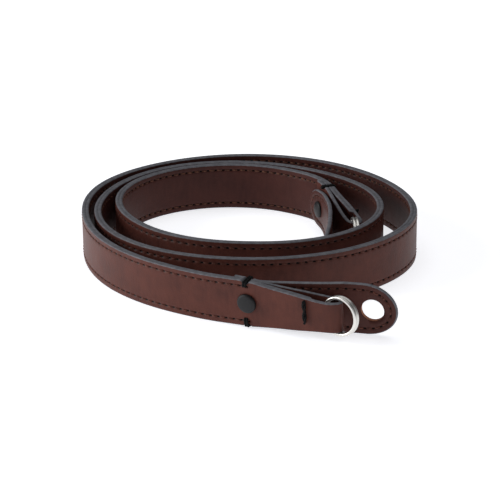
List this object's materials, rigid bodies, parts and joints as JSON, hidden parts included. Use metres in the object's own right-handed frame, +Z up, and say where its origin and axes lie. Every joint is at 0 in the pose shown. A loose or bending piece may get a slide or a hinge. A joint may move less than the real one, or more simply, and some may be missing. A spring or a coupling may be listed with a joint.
{
  "type": "camera neck strap",
  "caption": "Leather camera neck strap coiled on edge, with a split ring looped into each end and a riveted tongue with a punched hole behind each ring.",
  "frame": {"origin": "centre of the footprint of the coiled strap, on the floor it stands on", "axes": "+Z up across the strap's width, -Y towards the side where the outer end leaves the coil, +X towards that end's free tip"},
  "size_m": [0.1264, 0.1628, 0.0197],
  "materials": {
    "outer_leather": "smooth dark brown, waxed",
    "lining_leather": "smooth dark brown",
    "ring_metal": "bright nickel plate",
    "rivet_metal": "black lacquer",
    "thread": "black waxed thread"
  },
  "bodies": {
    "root": {"outer_strip": "outer_leather", "lining_strip": "lining_leather", "ring_cover_outer_end": "outer_leather", "ring_cover_inner_end": "outer_leather", "split_ring_outer_end": "ring_metal", "split_ring_inner_end": "ring_metal", "rivet_outer_end": "rivet_metal", "rivet_inner_end": "rivet_metal", "bar_tack_top_outer_end": "thread", "bar_tack_bottom_outer_end": "thread", "bar_tack_top_inner_end": "thread", "bar_tack_bottom_inner_end": "thread", "bar_stitch_outer_end": "thread", "bar_stitch_inner_end": "thread"}
  },
  "joints": []
}
